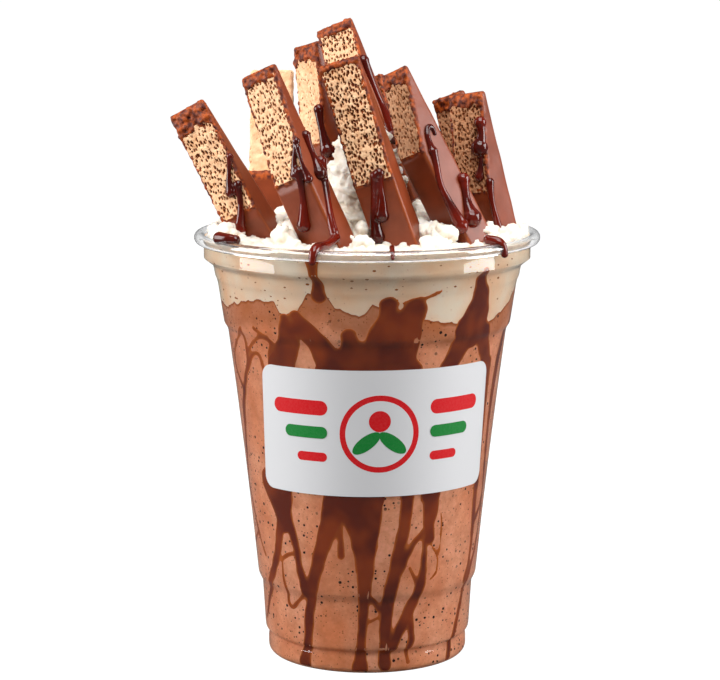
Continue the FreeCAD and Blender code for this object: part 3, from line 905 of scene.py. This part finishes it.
# ---- whipped cream ----
TOWER_PLACE = (-0.5, -7.0)
TOWER_TOP = 153.0
BED_CROWN = 126.5


def bed_height(reach):
    """Height of the bed of cream at a distance from the middle."""
    share = min(1.0, reach / (LIP_RADIUS - 3.2))
    return RIM_FILL + (BED_CROWN - RIM_FILL) * (1 - share ** 2)


def before_finger(x, y):
    """Whether a spot on the bed lies in front of one of the fingers that stand at the rim."""
    for name in "abfh":
        matrix = finger_place(FINGERS[name])
        axis = matrix.to_3x3() @ Vector((0, 0, 1))
        foot = matrix @ Vector((0, FINGERS[name]["thick"] / 2, 0))
        foot -= axis * ((foot.z - CUP_HEIGHT) / axis.z)
        if abs(x - foot.x) < FINGERS[name]["width"] * 0.62 and y < foot.y:
            return True
    return False


def make_cream():
    """A bed of soft lumps, and a tower piped through a star nozzle, melted together."""
    draw = random.Random(5)
    template = pebble()
    places = []
    edge = LIP_RADIUS - 3.4
    for _ in range(620):
        reach = edge * math.sqrt(draw.random())
        turn = draw.uniform(0, 2 * math.pi)
        size = draw.uniform(1.3, 3.6)
        reach = min(reach, edge - size * 0.9)
        x, y = reach * math.cos(turn), reach * math.sin(turn)
        height = bed_height(reach) - size * draw.uniform(-0.2, 0.8)
        if before_finger(x, y):
            height = min(height, RIM_FILL + 0.8 - size)
        places.append(lump_place(draw, (x, y, height), size, 0.8))
    lumps = scattered("lumps", template, places)
    low = PALE_TOP - 1.4
    bpy.ops.mesh.primitive_cylinder_add(vertices=120, radius=edge - 0.6, depth=RIM_FILL + 0.2 - low,
                                        location=(0, 0, (RIM_FILL + 0.2 + low) / 2))
    base = bpy.context.object
    apply_place()
    cream = joined("cream", [lumps, base, piped_tower()])
    melted(cream, 0.6, 1)
    uneven(cream, 3.0, 1.0, 2.0)
    folds(cream, 2.3, 0.8)
    folds(cream, 1.1, 0.35)
    rows = points_of(cream)
    reach = np.hypot(rows[:, 0], rows[:, 1])
    shrink = np.minimum(1.0, (LIP_RADIUS - 2 * LIP_ROLL - 0.15) / np.maximum(reach, 1e-6))
    rows[:, 0] *= shrink
    rows[:, 1] *= shrink
    rows[:, 2] = np.maximum(rows[:, 2], low)
    set_points(cream, rows)
    bpy.data.objects.remove(template)
    settle(cream, "cream_heap", CREAM, "whipped_cream", "whipped_cream", angle=180)


def folds(obj, size, depth):
    """Sharp little creases between soft swellings, as in cream that was torn from a spoon."""
    rows = points_of(obj)
    crease = [abs(noise.noise(Vector(row) / size)) * 2.2 - 0.4 for row in rows]
    set_points(obj, rows + normals_of(obj) * (np.array(crease) * depth)[:, None])


def piped_tower():
    """A star-shaped rope of cream, wound up in narrowing turns."""
    bpy.ops.curve.primitive_nurbs_circle_add(radius=1)
    star = bpy.context.object
    star.data.dimensions = "2D"
    star.data.splines.clear()
    spline = star.data.splines.new("NURBS")
    teeth = 8
    spline.points.add(2 * teeth - 1)
    for k, point in enumerate(spline.points):
        turn = math.pi * k / teeth
        reach = 1.0 if k % 2 == 0 else 0.6
        point.co = (reach * math.cos(turn), reach * math.sin(turn), 0, 1)
    spline.use_cyclic_u = True
    spline.order_u = 3

    curve = bpy.data.curves.new("tower", "CURVE")
    curve.dimensions = "3D"
    curve.bevel_mode = "OBJECT"
    curve.bevel_object = star
    curve.use_fill_caps = True
    curve.resolution_u = 8
    route = curve.splines.new("NURBS")
    turns, per_turn = 4.3, 10
    count = int(turns * per_turn)
    route.points.add(count)
    for k, point in enumerate(route.points):
        share = k / count
        turn = 2 * math.pi * k / per_turn
        reach = 10.0 * (1 - share) ** 0.42
        point.co = (TOWER_PLACE[0] + reach * math.cos(turn), TOWER_PLACE[1] + reach * math.sin(turn),
                    BED_CROWN - 5 + (TOWER_TOP - BED_CROWN + 3) * share, 1)
        point.radius = 6.6 - 2.2 * share
        point.tilt = turn * 0.6
    route.order_u = 4
    route.use_endpoint_u = True
    tower = curve_mesh(curve)
    bpy.data.objects.remove(star)
    return tower


# ---- sauce poured over the fingers and the rim ----
# finger, its face, where the drip starts across and up that face, how far it runs, its radius.
FACE_DRIPS = [
    ("a", "slice", 5.6, 15.0, 10.0, 1.1),
    ("a", "slice", 4.6, 7.0, 13.0, 1.4),
    ("b", "slice", 5.6, 9.0, 9.0, 1.1),
    ("b", "front", 4.2, 1.0, 15.0, 1.5),
    ("b", "right", 1.0, 7.0, 9.0, 0.9),
    ("b", "right", 7.5, 9.0, 11.0, 1.5),
    ("d", "right", 1.0, 9.0, 12.0, 1.6),
    ("e", "right", 2.0, 2.0, 23.0, 1.8),
    ("f", "front", 0.8, 1.0, 17.0, 1.6),
    ("f", "front", 2.8, 1.5, 12.0, 1.5),
    ("h", "right", 3.0, -2.0, 23.0, 1.5),
    ("h", "right", 8.5, -13.0, 11.0, 2.0),
    ("i", "slice", 5.0, 19.0, 7.0, 1.8),
    ("i", "slice", 4.4, 13.0, 9.0, 1.0),
    ("i", "right", 1.2, 2.0, 17.0, 1.3),
    ("j", "right", 2.0, 2.0, 10.0, 0.9),
]
# Drips that bend: on one finger's side, how far into it, up it, radius.
SIDE_DRIPS = [
    ("h", [(7, 2, 0.7), (7.5, 4, 0.8), (5.5, 4.5, 0.9), (4, 2.5, 0.9), (3.5, 0, 1.0), (3, -2, 1.3)]),
    ("b", [(9, 1, 1.5), (7.5, -2, 1.3), (5.5, -6, 1.1), (3.5, -10, 1.1), (1.5, -14, 1.2), (0.3, -18, 1.3)]),
]
# Drips over the cream and the lip, in the cup's frame.
LIP_DRIPS = [
    [(-8.5, -34, 124, 1.3), (-10, -38, 122.8, 1.2), (-12, -42, 122.6, 1.3), (-13.5, -44.5, 122.4, 1.6),
     (-14.4, -46.4, 121.4, 1.3), (-14.6, -46.6, 119, 1.0)],
    [(-36, -27, 122.4, 1.4), (-38.5, -26, 122.7, 1.7), (-40.5, -24, 122.6, 1.8)],
    [(33, -29, 122.8, 1.3), (35, -30, 122.6, 1.6), (37, -31, 121.6, 1.3), (37.4, -30.6, 119, 1.0)],
    [(6.6, -44, 122.4, 0.8), (6.7, -47.4, 121.6, 0.7), (6.8, -48.2, 120.2, 0.6)],
]


def face_of(finger, face):
    """Corner, directions across and up, and greatest reach either way across one face of a finger."""
    half = finger["width"] / 2
    if face == "right":
        return Vector((half, 0, 0)), Vector((0, 1, 0)), Vector((0, 0, 1)), (0.0, finger["thick"])
    up = slope_of(finger)[0] if face == "slice" else Vector((0, 0, 1))
    return Vector((0, 0, 0)), Vector((1, 0, 0)), up, (-half, half)


def running_drip(finger, face, start, high, length, radius):
    """Places and radii of a drip that runs straight down a face, along its edge once it gets there."""
    place = finger_place(finger)
    corner, across, up, reach = face_of(finger, face)
    down = place.to_3x3().transposed() @ Vector((0, 0, -1))
    fall = Vector((down.dot(across), down.dot(up))).normalized()
    route = []
    steps = max(4, int(length / 2.5))
    for k in range(steps + 1):
        share = k / steps
        sway = 0.35 * math.sin(5.0 * share + start + high)
        x = min(reach[1], max(reach[0], start + fall.x * length * share + sway))
        spot = corner + across * x + up * (high + fall.y * length * share)
        size = radius * (0.95 - 0.35 * math.sin(math.pi * min(1.0, share * 1.15)) + 0.4 * share ** 4)
        route.append((place @ spot, size))
    return route


def make_drips():
    """Glossy drips, melted where they meet."""
    routes = [running_drip(FINGERS[name], *values) for name, *values in FACE_DRIPS]
    for name, bends in SIDE_DRIPS:
        place = finger_place(FINGERS[name])
        side = FINGERS[name]["width"] / 2
        routes.append([(place @ Vector((side, into, up)), radius) for into, up, radius in bends])
    routes += [[(Vector(step[:3]), step[3]) for step in route] for route in LIP_DRIPS]
    drips = joined("drips", [soft_tubes("runs", routes, 8), round_ends("beads", routes)])
    melted(drips, 0.26, 2)
    set_value(drips, "thick", 1.0)
    settle(drips, "sauce_drips", OPEN_SAUCE, "chocolate", angle=180)


# ---- label ----
LABEL_WIDTH = 72.5
LABEL_LOW = 52.3
LABEL_HIGH = 88.2
LABEL_CORNER = 3.6
LABEL_TURN = 5.4
LABEL_THICK = 0.15
INK_THICK = 0.02


def wrap_on_cup(obj, out):
    """Bends a flat piece, X across and Z up, onto the cup's side, so far out from it."""
    rows = points_of(obj)
    radius = wall_radius(rows[:, 2])
    turn = rows[:, 0] / radius + math.radians(LABEL_TURN)
    reach = radius + out - rows[:, 1]
    set_points(obj, np.stack([reach * np.sin(turn), -reach * np.cos(turn), rows[:, 2]], axis=1))


def flat_patch(name, thick):
    """The object in hand, a flat face in XZ, cut fine and given its thickness towards -Y."""
    obj = bpy.context.object
    obj.name = name
    only(obj)
    apply_place()
    edit(obj)
    select_whole()
    width = LABEL_WIDTH * 1.2
    for k in range(1, 60):
        x = -width / 2 + width * k / 60
        select_whole()
        bpy.ops.mesh.bisect(plane_co=(x, 0, 0), plane_no=(1, 0, 0))
    for k in range(1, 6):
        select_whole()
        height = LABEL_LOW + (LABEL_HIGH - LABEL_LOW) * k / 6
        bpy.ops.mesh.bisect(plane_co=(0, 0, height), plane_no=(0, 0, 1))
    select_whole()
    bpy.ops.mesh.extrude_region_move(TRANSFORM_OT_translate={"value": (0, -thick, 0)})
    fix_normals()
    leave()
    return obj


def make_label():
    """The sticker, a sheet with round corners wrapped on the cup, and its print."""
    middle = (LABEL_LOW + LABEL_HIGH) / 2
    bpy.ops.mesh.primitive_plane_add(size=1, location=(0, 0, middle), rotation=(math.pi / 2, 0, 0))
    sheet = bpy.context.object
    sheet.scale = (LABEL_WIDTH, LABEL_HIGH - LABEL_LOW, 1)
    apply_place()
    edit(sheet)
    select_whole()
    bpy.ops.mesh.bevel(offset=LABEL_CORNER, segments=8, affect="VERTICES")
    leave()
    sheet = flat_patch("label", LABEL_THICK)
    wrap_on_cup(sheet, 0.0)
    settle(sheet, "label_sticker", PAPER, "sticker", "label", angle=40)
    make_print(middle)


def disc(radius, place, count, squash=1.0, turn=0.0):
    """A flat disc in XZ, or a leaf where it is squashed."""
    bpy.ops.mesh.primitive_circle_add(vertices=count, radius=radius, fill_type="NGON",
                                      location=(place[0], 0, place[1]), rotation=(math.pi / 2, 0, 0))
    obj = bpy.context.object
    obj.scale = (1, squash, 1)
    bpy.ops.object.transform_apply(location=False, rotation=True, scale=True)
    obj.rotation_euler = (0, math.radians(turn), 0)
    return obj


def stripe(width, height, place):
    """A flat bar in XZ with round ends."""
    bpy.ops.mesh.primitive_plane_add(size=1, location=(place[0], 0, place[1]), rotation=(math.pi / 2, 0, 0))
    obj = bpy.context.object
    obj.scale = (width, height, 1)
    bpy.ops.object.transform_apply(location=False, rotation=True, scale=True)
    edit(obj)
    select_whole()
    bpy.ops.mesh.bevel(offset=height * 0.49, segments=6, affect="VERTICES")
    leave()
    return obj


def printed(objects, name, material, out):
    """Inks in one colour: thin patches pressed onto the sticker."""
    patches = []
    for obj in objects:
        only(obj)
        patches.append(flat_patch(name, INK_THICK))
    whole = joined(name, patches)
    wrap_on_cup(whole, LABEL_THICK + out)
    settle(whole, name, material, "sticker", angle=40)


def make_print(middle):
    """A roundel with two leaves between rows of stripes."""
    reds = [disc(11.0, (0, middle), 64)]
    greens = []
    whites = [disc(9.4, (0, middle), 64)]
    inner_reds = [disc(3.0, (0, middle + 3.6), 32)]
    for side in (-1, 1):
        greens.append(disc(4.6, (side * 3.6, middle - 2.6), 32, squash=0.42, turn=side * 38))
        for row, (length, ink_list) in enumerate(((17.0, reds), (13.0, greens), (9.0, reds))):
            spot = (side * (14.5 + length / 2), middle + 7 - row * 7)
            ink_list.append(stripe(length, 4.2 - row * 0.8, spot))
    printed(reds, "print_red", RED_INK, 0.0)
    printed(whites, "print_white", PAPER, 0.03)
    printed(greens, "print_green", GREEN_INK, 0.06)
    printed(inner_reds, "print_red_dot", RED_INK, 0.06)


# ---- floor, light and camera ----
def seen_clear(tree):
    """1 for what the camera sees straight or through the clear plastic, and 0 for light that bounced."""
    path = add_node(tree, "ShaderNodeLightPath")
    unlit = combine(tree, "LESS_THAN", path.outputs["Diffuse Depth"], 0.5)
    through = combine(tree, "MULTIPLY", path.outputs["Is Transmission Ray"], unlit)
    return combine(tree, "MAXIMUM", path.outputs["Is Camera Ray"], through)


def make_stage():
    """A pale floor and room that look white, and that throw little light back onto the front of the cup."""
    bpy.ops.mesh.primitive_plane_add(size=12, location=(0, 2, 0))
    floor = bpy.context.object
    floor.name = "floor"
    material, tree, shader = new_material("studio floor, matt", Roughness=1.0, Specular_IOR_Level=0.0,
                                          Base_Color=(0.12, 0.12, 0.12, 1), Emission_Color=(1, 1, 1, 1))
    tree.links.new(ramp(tree, seen_clear(tree), 0.0, 1.0, 0.02, 1.0), shader.inputs["Emission Strength"])
    floor.data.materials.append(material)

    world = bpy.data.worlds.new("studio")
    bpy.context.scene.world = world
    world.use_nodes = True
    tree = world.node_tree
    sky = tree.nodes["Background"]
    sky.inputs["Color"].default_value = (1, 1, 1, 1)
    tree.links.new(ramp(tree, seen_clear(tree), 0.0, 1.0, 0.18, 1.0), sky.inputs["Strength"])

    softbox("softbox_left", (-0.66, -0.10, 0.22), (0.40, 0.6), 6.2)
    softbox("softbox_right", (0.66, -0.08, 0.22), (0.36, 0.5), 5.0)
    softbox("softbox_over", (0.0, -0.10, 0.95), (0.6, 0.5), 4.4)
    softbox("softbox_front", (0.06, -0.55, 0.85), (0.6, 0.4), 6.4)


def softbox(name, place, size, power):
    """A rectangular lamp aimed at the cup; place and size in metres, power in watts."""
    bpy.ops.object.light_add(type="AREA", location=place)
    light = bpy.context.object
    light.name = name
    light.data.shape = "RECTANGLE"
    light.data.size, light.data.size_y = size
    light.data.energy = power
    aim = Vector((0, 0, 0.09)) - Vector(place)
    light.rotation_euler = aim.to_track_quat("-Z", "Y").to_euler()


def make_camera():
    """Level with the lip and tipped down, from the label's side."""
    data = bpy.data.cameras.new("camera")
    camera = bpy.data.objects.new("camera", data)
    bpy.context.collection.objects.link(camera)
    camera.location = (0, -0.733, 0.2085)
    camera.rotation_euler = (math.radians(90 - 9.15), 0, 0)
    data.lens = 130
    data.sensor_width = 36
    data.shift_x = -0.0099
    data.clip_start = 0.01
    bpy.context.scene.camera = camera
    bpy.context.scene.view_settings.view_transform = "Standard"


make_stage()
make_camera()
make_cup()
make_drink()
make_wall_sauce()
make_label()
make_fingers()
make_cream()
make_drips()
